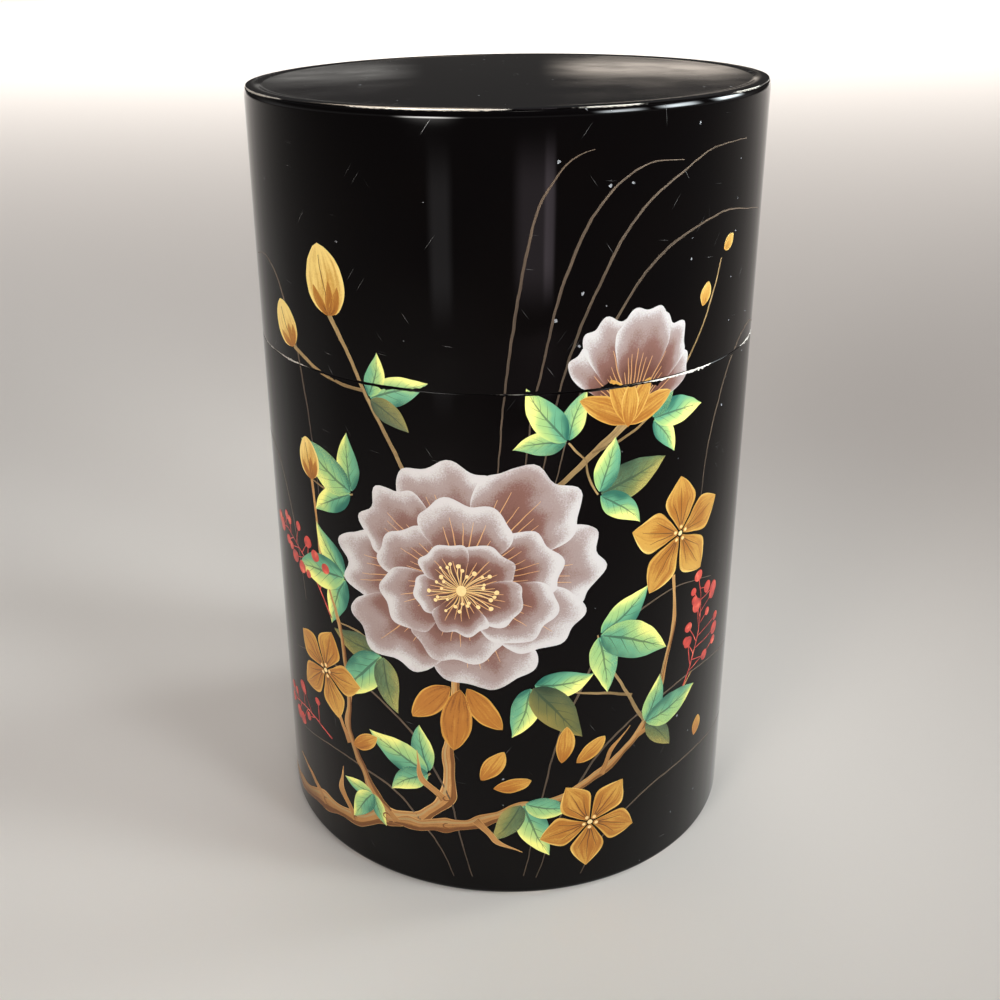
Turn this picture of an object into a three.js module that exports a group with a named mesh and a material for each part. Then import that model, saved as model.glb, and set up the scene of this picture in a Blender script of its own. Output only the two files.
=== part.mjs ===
// Lacquered tinplate tea caddy: a canister of rolled and pressed sheet, closed by a
// slip-over lid and a dished inner lid. Millimetres, +Z up, origin at the centre of the foot.
import * as THREE from "three";

// Driving dimensions
const outerRadius = 38; // canister and lid share one flush outer wall
const bodyHeight = 83.2; // foot to the joint between canister and lid
const lidHeight = 36; // joint to the crest of the top plate's rim
const sheet = 0.3; // tinplate with its coats of lacquer
const seamEase = 0.15; // softened edges where the lid meets the canister

// Foot
const footRound = 1.2; // outer bend at the foot
const hemWidth = 2.6; // wall turned in under the base plate
const baseFit = 0.1; // base plate to the bend of the wall
const baseRecess = 2.6; // floor raised clear of the table
const stepGap = 0.8; // hem to the step of the base plate
const stepBend = 0.5;

// Neck sleeve
const sleeveFit = 0.1; // radial clearance: sleeve in the wall, and lid on the sleeve
const neckRise = 28; // sleeve standing above the joint
const lipGap = 0.9; // step of the base plate to the sleeve's turned-in foot
const mouthEase = 0.06;

// Lid wall and its drawn-in shoulder
const shoulderRound = 2.5;
const shoulderLean = 0.27; // shoulder stands in from the wall
const shoulderDrop = 0.6; // height that the leaning part would have without its bend
const shoulderEase = 0.2; // softened edge beside the rim, the lower half of the fine groove
const flangeWidth = 2.4; // wall turned in to carry the top plate

// Top plate
const rimInset = 0.36; // rim stands in from the outer wall
const rimArch = 0.12; // crown of the rim above its own edges
const rimEase = 0.1; // softened lower edge, the upper half of the fine groove
const spigotFit = 0.1; // pressed-down panel in the opening of the lid wall
const crownRise = 0.3; // doming of the panel

// Inner lid
const innerLidFit = 0.15; // skirt in the neck
const dishDepth = 6;
const dishBend = 1.1;
const flangeBend = 0.5;
const bossRadius = 9; // raised middle that carries the knob
const bossRise = 0.8;
const bossSlope = 0.8;
const bossBend = 0.5;

// Knob, with its rivet and washer
const knobHeight = 9.4;
const knobRadius = 6.2;
const knobFoot = 4.2;
const knobFootHeight = 1.2;
const footEase = 0.3;
const knobWaist = 2.8;
const waistLow = 2.6; // where the waist begins and ends, above the boss
const waistHigh = 4.6;
const waistRound = 1.4;
const capEdge = 1.2; // straight side of the knob's cap
const capRound = 0.7; // under its edge
const capCrown = 2.2; // cap's dome above that side
const rivetRadius = 1.2;
const rivetHole = 0.15; // clearance round the rivet
const rivetReach = 4.6; // rivet inside the knob
const rivetGap = 0.4; // left free above its end
const rivetEase = 0.3;
const rivetHead = 2.5;
const rivetHeadHeight = 0.8;
const washerRadius = 3.9;
const washerThickness = 0.5;

// Facets round the axis, along each bend and across each crown
const wallFacets = 60;
const knobFacets = 32;
const bendFacet = 0.4; // a bend gets one facet for each of these in its radius
const mostBendFacets = 3;
const crownSteps = 4;

// Places worked out from the sizes
const rimCrest = bodyHeight + lidHeight;
const shoulderTop = rimCrest - sheet;
const wallBore = outerRadius - sheet;
const sleeveRadius = wallBore - sleeveFit;
const sleeveBore = sleeveRadius - sheet;
const baseStep = outerRadius - hemWidth - stepGap;
const lidOpening = outerRadius - flangeWidth;
const neckTop = bodyHeight + neckRise;
const dishFloor = neckTop - dishDepth; // upper face of the dish
const bossTop = dishFloor + bossRise;
const rivetBore = rivetRadius + rivetHole;

// Rounds each [radius, height, bend] corner of a closed outline by an arc of that bend radius,
// or a smaller one where the sides beside it are too short.
function outline(corners) {
  const at = corners.map(([r, z]) => new THREE.Vector2(r, z));
  const to = (i, j) => at.at(j % at.length).clone().sub(at[i]);
  const half = at.map((p, i) => {
    const back = to(i, i - 1).normalize();
    const on = to(i, i + 1).normalize();
    return Math.acos(THREE.MathUtils.clamp(back.dot(on), -1, 1)) / 2;
  });
  const reach = corners.map(([, , bend = 0], i) => bend / Math.tan(half[i]));
  const room = (i, j) => (0.96 * to(i, j).length()) / (reach[i] + reach.at(j % at.length));
  return corners.flatMap(([, , bend = 0], i) => {
    if (!bend) return [at[i]];
    const length = reach[i] * Math.min(1, room(i, i - 1), room(i, i + 1));
    const start = to(i, i - 1).setLength(length);
    const end = to(i, i + 1).setLength(length);
    const middle = start.clone().add(end).setLength(length / Math.cos(half[i]));
    start.sub(middle);
    end.sub(middle);
    const sweep = Math.atan2(start.cross(end), start.dot(end));
    const steps = Math.min(Math.ceil(bend / bendFacet), mostBendFacets);
    return Array.from({ length: steps + 1 }, (_, k) => {
      const spoke = start.clone().rotateAround(new THREE.Vector2(), (sweep * k) / steps);
      return spoke.add(middle).add(at[i]);
    });
  });
}

// Corners along a low crown between two radii, at the height that goes with each share of the way.
function crown(from, to, height) {
  return Array.from({ length: crownSteps + 1 }, (_, k) => {
    const share = k / crownSteps;
    return [THREE.MathUtils.lerp(from, to, share), height(share)];
  });
}

// Corners of a dome, from the axis to its rim: a quarter of an ellipse.
function dome(radius, base, rise) {
  return Array.from({ length: crownSteps + 1 }, (_, k) => {
    const angle = (k / crownSteps) * (Math.PI / 2);
    return [radius * Math.sin(angle), base + rise * Math.cos(angle)];
  });
}

// Revolves a closed outline about +Z, whichever way round it was drawn.
function revolve(points, facets) {
  const ring = THREE.ShapeUtils.area(points) > 0 ? [...points] : [...points].reverse();
  const onAxis = (p) => Math.abs(p.x) < 1e-9;
  const start = ring.findIndex((p, i) => onAxis(p) && onAxis(ring.at(i - 1)));
  const path = start < 0 ? [...ring, ring[0]] : [...ring.slice(start), ...ring.slice(0, start)];
  return new THREE.LatheGeometry(path, facets).rotateX(Math.PI / 2);
}

// Canister wall: rolled tube whose lower edge is turned in under the base plate.
function canisterWall() {
  const hem = outerRadius - hemWidth;
  return outline([
    [wallBore, bodyHeight],
    [outerRadius, bodyHeight, seamEase],
    [outerRadius, 0, footRound],
    [hem, 0],
    [hem, sheet],
    [wallBore, sheet, Math.max(footRound - sheet, 0)],
  ]);
}

// Base plate: pressed pan whose flange lies on the hem of the wall and whose floor is raised.
function basePlate() {
  const flange = outerRadius - footRound - baseFit;
  const floor = baseRecess + sheet;
  return outline([
    [0, baseRecess],
    [baseStep - sheet, baseRecess, stepBend],
    [baseStep - sheet, sheet, sheet],
    [flange, sheet],
    [flange, 2 * sheet],
    [baseStep, 2 * sheet, sheet / 2],
    [baseStep, floor, stepBend + sheet],
    [0, floor],
  ]);
}

// Neck sleeve: lines the canister, stands on the base plate and rises into the lid.
function neckSleeve() {
  const foot = 2 * sheet;
  const lip = baseStep + lipGap;
  const footBend = Math.max(footRound - sheet, sheet);
  return outline([
    [sleeveBore, neckTop, mouthEase],
    [sleeveRadius, neckTop, mouthEase],
    [sleeveRadius, foot, footBend],
    [lip, foot],
    [lip, foot + sheet],
    [sleeveBore, foot + sheet, footBend - sheet],
  ]);
}

// Lid wall: slips over the neck, flush with the canister. Its top leans in as a soft shoulder
// and is then turned in flat as a flange for the top plate.
function lidWall() {
  return outline([
    [wallBore, bodyHeight],
    [outerRadius, bodyHeight, seamEase],
    [outerRadius, shoulderTop - shoulderDrop, shoulderRound],
    [outerRadius - shoulderLean, shoulderTop, shoulderEase],
    [lidOpening, shoulderTop],
    [lidOpening, shoulderTop - sheet],
    [wallBore - shoulderLean, shoulderTop - sheet, sheet / 2],
    [wallBore, shoulderTop - shoulderDrop - sheet, shoulderRound],
  ]);
}

// Top plate: its arched rim lies on the flange of the lid wall, a hair inside the outer wall,
// and its low-domed panel is pressed down into the opening, which centres it.
function lidTop() {
  const rim = outerRadius - rimInset;
  const spigot = lidOpening - spigotFit;
  const edge = rimCrest - rimArch;
  const panel = (share) => edge + crownRise * (1 - share ** 2);
  const arch = (share) => rimCrest - rimArch * (2 * share - 1) ** 2;
  return outline([
    ...crown(0, spigot - sheet, panel),
    ...crown(spigot, rim, arch),
    [rim, shoulderTop, rimEase],
    [spigot, shoulderTop],
    ...crown(0, spigot, (share) => panel(share) - sheet).reverse(),
  ]);
}

// Inner lid: pressed dish whose flange lies on the neck, as wide as the sleeve so that the lid
// clears both alike, with a raised middle for the knob.
function innerLid() {
  const skirt = sleeveBore - innerLidFit;
  return outline([
    [rivetBore, bossTop],
    [bossRadius, bossTop, bossBend],
    [bossRadius + bossSlope, dishFloor, bossBend],
    [skirt - sheet, dishFloor, dishBend - sheet],
    [skirt - sheet, neckTop + sheet, flangeBend],
    [sleeveRadius, neckTop + sheet, mouthEase],
    [sleeveRadius, neckTop],
    [skirt, neckTop, flangeBend - sheet],
    [skirt, dishFloor - sheet, dishBend],
    [bossRadius + bossSlope - sheet / 2, dishFloor - sheet, bossBend],
    [bossRadius - sheet / 2, bossTop - sheet, bossBend],
    [rivetBore, bossTop - sheet],
  ]);
}

// Knob: turned mushroom with a domed cap, bored from below for its rivet.
function knob() {
  const top = bossTop + knobHeight;
  const boreEnd = bossTop + rivetReach + rivetGap;
  return outline([
    [0, boreEnd],
    [rivetBore, boreEnd],
    [rivetBore, bossTop],
    [knobFoot, bossTop, footEase],
    [knobFoot, bossTop + knobFootHeight, footEase],
    [knobWaist, bossTop + waistLow, waistRound],
    [knobWaist, bossTop + waistHigh, waistRound],
    [knobRadius, top - capCrown - capEdge, capRound],
    ...dome(knobRadius, top - capCrown, capCrown).reverse(),
  ]);
}

// Washer under the boss, which spreads the pull of the rivet over the thin dish.
function knobWasher() {
  const top = bossTop - sheet;
  return outline([
    [rivetBore, top - washerThickness],
    [washerRadius, top - washerThickness, mouthEase],
    [washerRadius, top, mouthEase],
    [rivetBore, top],
  ]);
}

// Rivet: its head is under the washer and its shank is held in the knob.
function knobRivet() {
  const seat = bossTop - sheet - washerThickness;
  return outline([
    ...dome(rivetHead, seat, -rivetHeadHeight),
    [rivetRadius, seat],
    [rivetRadius, bossTop + rivetReach, rivetEase],
    [0, bossTop + rivetReach],
  ]);
}

const lacquer = new THREE.MeshStandardMaterial({ color: 0x0a0808, roughness: 0.08, metalness: 0 });
const tinplate = new THREE.MeshStandardMaterial({ color: 0xc9c7c0, roughness: 0.28, metalness: 1 });
const brass = new THREE.MeshStandardMaterial({ color: 0xc2953f, roughness: 0.3, metalness: 1 });

function piece(name, points, material, facets = wallFacets) {
  const mesh = new THREE.Mesh(revolve(points, facets), material);
  mesh.name = name;
  return mesh;
}

const caddy = new THREE.Group();
caddy.add(
  piece("canister_wall", canisterWall(), lacquer),
  piece("base_plate", basePlate(), lacquer),
  piece("neck_sleeve", neckSleeve(), tinplate),
  piece("lid_wall", lidWall(), lacquer),
  piece("lid_top_plate", lidTop(), lacquer),
  piece("inner_lid_dish", innerLid(), tinplate),
  piece("inner_lid_knob", knob(), brass, knobFacets),
  piece("knob_washer", knobWasher(), tinplate, knobFacets),
  piece("knob_rivet", knobRivet(), brass, knobFacets),
);

export default caddy;
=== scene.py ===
import math
import random

import bmesh
import bpy
from mathutils import Matrix, Vector, noise


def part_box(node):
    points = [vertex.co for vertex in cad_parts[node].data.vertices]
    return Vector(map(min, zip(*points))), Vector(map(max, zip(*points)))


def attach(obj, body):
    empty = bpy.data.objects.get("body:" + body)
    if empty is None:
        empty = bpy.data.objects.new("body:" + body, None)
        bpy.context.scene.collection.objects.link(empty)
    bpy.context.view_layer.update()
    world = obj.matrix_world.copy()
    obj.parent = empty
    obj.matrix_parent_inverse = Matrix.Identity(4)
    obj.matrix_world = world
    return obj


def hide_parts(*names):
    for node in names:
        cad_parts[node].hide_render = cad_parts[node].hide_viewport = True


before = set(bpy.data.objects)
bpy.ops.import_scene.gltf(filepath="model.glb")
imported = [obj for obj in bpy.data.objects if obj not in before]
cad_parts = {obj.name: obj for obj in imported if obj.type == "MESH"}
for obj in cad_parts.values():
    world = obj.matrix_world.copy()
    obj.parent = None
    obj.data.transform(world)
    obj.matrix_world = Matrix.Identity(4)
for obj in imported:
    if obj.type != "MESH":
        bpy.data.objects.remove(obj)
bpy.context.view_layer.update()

mm = 0.001

# Camera
# It stands a little above the lid and looks down at the front of the caddy, as the photograph does.
# Its place, tilt and lens were worked out from the rim, the joint and the foot, which are circles.
camera_place = Vector((0, -194.142, 138.244)) * mm
camera_down = math.radians(24.13)
camera_left = math.radians(2.8)
camera_roll = math.radians(-1.12)
focal_pixels = 1263.71
middle_pixel = 448.294  # where the lens axis meets the photograph
photo_width = 1000

camera_data = bpy.data.cameras.new("camera")
camera_data.sensor_width = 36
camera_data.lens = camera_data.sensor_width * focal_pixels / photo_width
camera_data.shift_x = 0.5 - middle_pixel / photo_width
camera_data.clip_start = 10 * mm
camera = bpy.data.objects.new("camera", camera_data)
bpy.context.scene.collection.objects.link(camera)
aim = Matrix.Rotation(camera_left, 3, "Z") @ Matrix.Rotation(math.pi / 2 - camera_down, 3, "X")
aim = aim @ Matrix.Rotation(camera_roll, 3, "Z")
camera.matrix_world = Matrix.Translation(camera_place) @ aim.to_4x4()
bpy.context.scene.camera = camera


# Studio
# A wide pale floor washed with light at the back, low soft boxes round the front that light the
# upright wall more than the floor, cards that the gloss reflects, and a dim room round it all.
def surface(name, **sockets):
    """A material whose Principled BSDF has these plain values, named as its sockets are."""
    material = bpy.data.materials.new(name)
    material.use_nodes = True
    shader = material.node_tree.nodes["Principled BSDF"]
    for socket, value in sockets.items():
        shader.inputs[socket.replace("_", " ")].default_value = value
    return material, material.node_tree, shader


def shown(name, data):
    """An object of this mesh or curve in the scene, at the origin."""
    piece = bpy.data.objects.new(name, data)
    bpy.context.scene.collection.objects.link(piece)
    return piece


def put(tree, kind, sockets=None, **settings):
    """A new node of this kind, with each socket linked or given its value."""
    node = tree.nodes.new(kind)
    for setting, value in settings.items():
        setattr(node, setting, value)
    for socket, value in (sockets or {}).items():
        if isinstance(value, bpy.types.NodeSocket):
            tree.links.new(value, node.inputs[socket])
        else:
            node.inputs[socket].default_value = value
    return node


def home(*values):
    """The node tree of the first socket among these values."""
    return next(value.id_data for value in values if isinstance(value, bpy.types.NodeSocket))


def worked(operation, *values):
    """The output of a Math node."""
    sockets = dict(enumerate(values))
    return put(home(*values), "ShaderNodeMath", sockets, operation=operation).outputs[0]


def times(a, b):
    """The product of two values."""
    return worked("MULTIPLY", a, b)


def gap(a, b):
    """How far two values are apart."""
    return worked("ABSOLUTE", worked("SUBTRACT", a, b))


def split(vector):
    """The X, Y and Z of a vector."""
    return put(home(vector), "ShaderNodeSeparateXYZ", {0: vector}).outputs


def eased(value, low, high, start=0.0, end=1.0):
    """The value's smooth way from start to end between low and high."""
    sockets = {0: value, 1: low, 2: high, 3: start, 4: end}
    return put(home(value), "ShaderNodeMapRange", sockets, interpolation_type="SMOOTHSTEP").outputs[0]


def mixed(factor, a, b):
    """A colour between a and b."""
    return put(home(factor), "ShaderNodeMix", {0: factor, 6: a, 7: b}, data_type="RGBA").outputs[2]


def ramp(value, *stops):
    """A colour ramp of (place, colour) stops."""
    node = put(home(value), "ShaderNodeValToRGB", {0: value})
    node.color_ramp.interpolation = "EASE"
    elements = node.color_ramp.elements
    while len(elements) < len(stops):
        elements.new(0.5)
    for element, (place, colour) in zip(elements, stops):
        element.position = place
        element.color = (*colour, 1)
    return node.outputs[0]


floor_colour = (0.80, 0.75, 0.70, 1)
floor_reach = 12.0  # metres
floor_mesh = bpy.data.meshes.new("floor")
corners = [(x * floor_reach, y * floor_reach, 0) for x, y in ((-1, -1), (1, -1), (1, 1), (-1, 1))]
floor_mesh.from_pydata(corners, [], [(0, 1, 2, 3)])
floor_mesh.materials.append(surface("floor_paper", Base_Color=floor_colour, Roughness=0.8)[0])
shown("floor", floor_mesh)

lamps = [  # name, place and aim in mm, width and height in mm, spread in degrees, watts, colour
    ("key_box", (-330, -540, 125), (0, 0, 70), 380, 120, 36, 0.44, (1, 0.97, 0.93)),
    ("window_near", (386, -348, 250), (0, 0, 112), 250, 170, 36, 0.24, (0.90, 0.97, 1)),
    ("window_middle", (505, -126, 250), (0, 0, 112), 250, 170, 36, 0.32, (0.88, 0.97, 1)),
    ("window_far", (500, 150, 250), (0, 0, 112), 250, 170, 36, 0.22, (0.88, 0.97, 1)),
    ("front_box", (60, -330, 480), (0, 0, 119), 120, 50, 60, 0.06, (1, 0.94, 0.86)),
    ("left_card", (-117, -246, 51), (0, -37, 51), 57, 88, 180, 0.016, (1, 0.95, 0.97)),
    ("right_card", (57, -290, 51), (4, -37, 51), 94, 88, 180, 0.036, (1, 0.84, 0.93)),
    ("right_edge_card", (92, -292, 51), (4, -37, 51), 30, 88, 180, 0.024, (1, 0.84, 0.95)),
    ("far_card", (190, 1500, 246), (0, 0, 119), 300, 62, 180, 0.07, (1, 0.88, 0.76)),
    ("far_dim_card", (-230, 1500, 246), (0, 0, 119), 260, 56, 180, 0.017, (1, 0.97, 0.92)),
    ("rim_lamp", (-90, 560, 400), (0, 0, 119), 200, 70, 60, 0.03, (1, 0.84, 0.66)),
    ("back_wash", (0, 2500, 2300), (0, 2500, 0), 4000, 3600, 86, 150, (1, 0.98, 0.96)),
]
soft_edge = 0.32  # the share of a box's width over which its light fades out at each side
for name, place, target, width, height, spread, watts, colour in lamps:
    light = bpy.data.lights.new(name, "AREA")
    light.shape = "RECTANGLE"
    light.size = width * mm
    light.size_y = height * mm
    light.spread = math.radians(spread)
    light.energy = watts
    light.color = colour
    light.use_nodes = True
    glow = light.node_tree
    fade = 1.0
    for share in split(put(glow, "ShaderNodeNewGeometry").outputs["Parametric"])[:2]:
        from_side = worked("SUBTRACT", 0.5, gap(share, 0.5))
        fade = times(eased(from_side, 0.0, soft_edge), fade)
    glow.links.new(fade, glow.nodes["Emission"].inputs["Strength"])
    lamp = shown(name, light)
    lamp.location = Vector(place) * mm
    lamp.visible_camera = False
    lamp.rotation_euler = (Vector(target) - Vector(place)).to_track_quat("-Z", "Y").to_euler()

room = bpy.data.worlds.new("room")
room.use_nodes = True
sky = room.node_tree
toward = split(put(sky, "ShaderNodeTexCoord").outputs["Generated"])
above = ramp(toward["Z"], (0.0, (0.05, 0.047, 0.045)), (1.0, (0.24, 0.24, 0.25)))
low = eased(toward["Z"], 0.04, 0.22, 1.0, 0.0)
in_front = eased(toward["Y"], 0.35, 0.75, 1.0, 0.0)
pale_walls = mixed(times(low, in_front), above, (0.52, 0.51, 0.50, 1))
sky.links.new(pale_walls, sky.nodes["Background"].inputs["Color"])
bpy.context.scene.world = room
bpy.context.scene.view_settings.view_transform = "Standard"

# Canister wall
# A tube of tinplate, sprayed inside and out with coats of black lacquer and baked to a gloss.
# Its lower edge is turned in as a hem, and its upper edge is eased where the lid meets it.
outer_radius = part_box("canister_wall")[1].x
seam_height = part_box("canister_wall")[1].z
sheet = 0.3 * mm
paint_room = 0.07 * mm  # kept inside the frame's radius for the painted spray
wall_radius = outer_radius - paint_room
wall_bore = outer_radius - sheet
arc_step = math.radians(9)  # between two points of a bend
sharp_bend = math.radians(32)


def rounded(corners):
    """Each [radius, height, bend] corner of a closed outline, with its bend as an arc.

    An arc takes up less than half of the edge on each side of it."""
    points = []
    for i, (r, z, *bend) in enumerate(corners):
        at = Vector((r, z))
        if not bend:
            points.append(at)
            continue
        before = Vector(corners[i - 1][:2]) - at
        after = Vector(corners[(i + 1) % len(corners)][:2]) - at
        half = before.angle(after) / 2
        reach = min(bend[0] / math.tan(half), 0.48 * before.length, 0.48 * after.length)
        start, end = before.normalized() * reach, after.normalized() * reach
        centre = (before.normalized() + after.normalized()).normalized() * reach / math.cos(half)
        steps = max(3, math.ceil((math.pi - 2 * half) / arc_step))
        spoke = start - centre
        sweep = spoke.angle_signed(end - centre)
        for k in range(steps + 1):
            points.append(at + centre + Matrix.Rotation(-sweep * k / steps, 2) @ spoke)
    return points


def turned(name, corners, material, facets=288):
    """A closed solid of revolution about Z. Points on the axis become one closed pole each."""
    mesh = bmesh.new()
    rings = []
    for point in rounded(corners):
        if point.x < 1e-9:
            rings.append([mesh.verts.new((0, 0, point.y))] * facets)
            continue
        turns = (2 * math.pi * k / facets for k in range(facets))
        rings.append([
            mesh.verts.new((point.x * math.cos(a), point.x * math.sin(a), point.y)) for a in turns
        ])
    for lower, upper in zip(rings, rings[1:] + rings[:1]):
        for k in range(facets):
            n = (k + 1) % facets
            loop = list(dict.fromkeys((lower[k], lower[n], upper[n], upper[k])))
            if len(loop) > 2:
                mesh.faces.new(loop)
    bmesh.ops.recalc_face_normals(mesh, faces=mesh.faces)
    data = bpy.data.meshes.new(name)
    mesh.to_mesh(data)
    mesh.free()
    data.shade_smooth()
    data.set_sharp_from_angle(angle=sharp_bend)
    data.materials.append(material)
    return shown(name, data)


def seat(piece, node, body):
    """The piece stands for a node of the frame, which it hides, and moves with its body."""
    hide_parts(node)
    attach(piece, body)


def mottle(vector, scale, detail=2.0):
    """The value of a Noise texture."""
    sockets = {"Vector": vector, "Scale": scale, "Detail": detail}
    return put(home(vector), "ShaderNodeTexNoise", sockets).outputs[0]


def joined(*values):
    """The vector of these values."""
    return put(home(*values), "ShaderNodeCombineXYZ", dict(enumerate(values))).outputs[0]


def feed(shader, **sources):
    """Links these outputs to the shader's sockets, named as its sockets are."""
    for socket, source in sources.items():
        shader.id_data.links.new(source, shader.inputs[socket.replace("_", " ")])


def relief(shader, height, distance, strength=1.0):
    """A Bump node on the shader's normal. The distance is the height's real size, in metres."""
    sockets = {"Height": height, "Distance": distance, "Strength": strength}
    feed(shader, Normal=put(shader.id_data, "ShaderNodeBump", sockets).outputs[0])


def new_group(name, kind, inputs, outputs):
    """An empty node group with these sockets, and those of its two end nodes."""
    group = bpy.data.node_groups.new(name, kind + "NodeTree")
    for sockets, side in ((inputs, "INPUT"), (outputs, "OUTPUT")):
        for label, holds in sockets.items():
            group.interface.new_socket(label, in_out=side, socket_type="NodeSocket" + holds)
    return group, put(group, "NodeGroupInput").outputs, put(group, "NodeGroupOutput").inputs


def place_of(tree):
    """The place on the piece, in metres from the middle of the caddy's foot."""
    return put(tree, "ShaderNodeTexCoord").outputs["Object"]


def radius_of(axes):
    """The distance from the caddy's axis."""
    flat = joined(axes[0], axes[1])
    return put(home(flat), "ShaderNodeVectorMath", {0: flat}, operation="LENGTH").outputs["Value"]


def way_round(axes):
    """The way round the wall from the middle of the front, in metres."""
    angle = worked("ARCTAN2", axes[0], times(axes[1], -1.0))
    return times(angle, outer_radius)


def lots_of(texture):
    """Three lots drawn by a texture, from its colour."""
    colour = texture.outputs["Color"]
    return put(home(colour), "ShaderNodeSeparateColor", {0: colour}).outputs


def cells(vector, scale):
    """The distance from the middle of a Voronoi cell, and three lots drawn for the cell."""
    sockets = {"Vector": vector, "Scale": scale}
    texture = put(home(vector), "ShaderNodeTexVoronoi", sockets, voronoi_dimensions="2D")
    return texture.outputs["Distance"], lots_of(texture)


def scaled(vector, *scales, operation="MULTIPLY"):
    """The output of a Vector Math node that multiplies."""
    sockets = dict(enumerate((vector, *scales)))
    return put(home(vector), "ShaderNodeVectorMath", sockets, operation=operation).outputs[0]


# This group gives the pale specks of dust on the gloss, and short fine scratches from handling.
handling, given, result = new_group(
    "dust_and_scratches", "Shader", {"Sheet": "Vector", "Dust": "Float", "Scratches": "Float"},
    {"Dust": "Float", "Scratches": "Float"},
)
fray_scale = 3000
fray_reach = (0.5 * mm,) * 3
specks_a_metre = 300
fray = put(handling, "ShaderNodeTexNoise", {"Vector": given["Sheet"], "Scale": fray_scale})
frayed = scaled(fray.outputs["Color"], fray_reach, given["Sheet"], operation="MULTIPLY_ADD")
distance, lots = cells(frayed, specks_a_metre)
speck_radius = worked("MULTIPLY_ADD", worked("POWER", lots[1], 2.0), 0.045, 0.02)
speck_mask = worked("LESS_THAN", distance, speck_radius)
speck_kept = worked("LESS_THAN", lots[0], given["Dust"])
handling.links.new(times(speck_mask, speck_kept), result["Dust"])
scratches_a_metre = 3600  # side by side
scratch_share = 0.006  # of the cells that hold one
scratches = None
for angle, in_line, reach in (  # the way they run, how many a metre in line, and their reach in a cell
    (1.45, 70, 0.12), (0.95, 120, 0.12), (2.2, 90, 0.12), (0.12, 110, 0.10),
):
    spun = put(handling, "ShaderNodeVectorRotate", {
        "Vector": given["Sheet"], "Angle": angle,
    }, rotation_type="Z_AXIS").outputs[0]
    distance, lots = cells(scaled(spun, (in_line, scratches_a_metre, 0)), 1)
    near = eased(distance, 0.2 * reach, reach, 0.8, 0.0)
    limit = times(given["Scratches"], scratch_share)
    kept = times(near, worked("LESS_THAN", lots[0], limit))
    scratch = times(kept, lots[1])
    scratches = worked("MAXIMUM", scratches, scratch) if scratches else scratch
handling.links.new(scratches, result["Scratches"])

# This one gives ragged stretches of an edge where a hand or the other half has rubbed it bare. Where the
# lacquer leans them to the right, the same pale stretches also paint a highlight along the joint.
wear_and_highlight, given, result = new_group(
    "worn_edge_and_highlight", "Shader",
    {"Place": "Vector", "Distance": "Float", "Reach": "Float", "Extent": "Float"}, {"Mask": "Float"},
)
worn_rim = 0.015 * mm  # over which the lacquer thins out
stretch = worked("ADD", mottle(given["Place"], 48, 1.0), given["Extent"])
ragged = eased(mottle(given["Place"], 1700, 3.0), 0.3, 0.7, 0.25, 1.0)
depth = times(eased(stretch, 0.5, 0.62), ragged)
bare = worked("SUBTRACT", times(depth, given["Reach"]), given["Distance"])
wear_and_highlight.links.new(eased(bare, 0.0, worn_rim), result["Mask"])

cool_black = (0.0008, 0.0006, 0.0008, 1)
warm_black = (0.0016, 0.0010, 0.0009, 1)
scratch_grey = (0.16, 0.155, 0.15, 1)
dust_grey = (0.20, 0.205, 0.215, 1)
# the pale tin of rubbed edges; on the right of the joint it also stands in for a painted highlight
bare_tin_and_highlight = (0.60, 0.56, 0.50, 1)


def lacquer(name, edges, dust=(0.02, 0.04), scratched=1.0, gloss=(0.02, 0.05), upright=True):
    """Black gloss, rubbed to the tin along edges of (axis, place, reach, extent, lean).

    Axis 2 is a height and axis 3 a radius. The bare tin leans to the right-hand side, where the lamps
    are, so that along the joint it is partly real rubbing and partly a painted highlight. Dust is the
    share of the cells that hold a speck, at the left and at the right."""
    material, tree, shader = surface(name, Specular_IOR_Level=0.14)
    place = place_of(tree)
    axes = split(place)
    marks = put(tree, "ShaderNodeGroup", {
        "Sheet": joined(way_round(axes), axes[2]) if upright else place,
        "Dust": eased(axes[0], -0.4 * outer_radius, 0.9 * outer_radius, *dust),
        "Scratches": scratched,
    }, node_tree=handling).outputs
    worn_and_highlit = None
    # The lean lengthens the bare tin toward the right, which paints a highlight of the lamps on the edge.
    for axis, edge_place, reach, extent, lean in edges:
        mask = put(tree, "ShaderNodeGroup", {
            "Place": place,
            "Distance": gap(radius_of(axes) if axis == 3 else axes[axis], edge_place),
            "Reach": reach,
            "Extent": worked("MULTIPLY_ADD", axes[0], lean / outer_radius, extent),
        }, node_tree=wear_and_highlight).outputs[0]
        worn_and_highlit = worked("MAXIMUM", worn_and_highlit, mask) if worn_and_highlit else mask
    dull = worked("MAXIMUM", marks["Dust"], marks["Scratches"])
    black = mixed(mottle(place, 90), cool_black, warm_black)
    marked = mixed(marks["Scratches"], black, scratch_grey)
    marked = mixed(marks["Dust"], marked, dust_grey)
    shine = eased(mottle(place, 140), 0.3, 0.75, *gloss)
    shine = worked("MAXIMUM", shine, times(dull, 0.6))
    shine = worked("MAXIMUM", shine, times(worn_and_highlit, 0.42))
    colour = mixed(worn_and_highlit, marked, bare_tin_and_highlight)
    feed(shader, Base_Color=colour, Metallic=times(worn_and_highlit, 0.6), Roughness=shine)
    flow = times(mottle(place, 75, 1.0), 6.0)
    height = worked("SUBTRACT", worked("ADD", flow, dull), times(worn_and_highlit, 2.0))
    relief(shader, height, 0.004 * mm)
    return material


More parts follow.
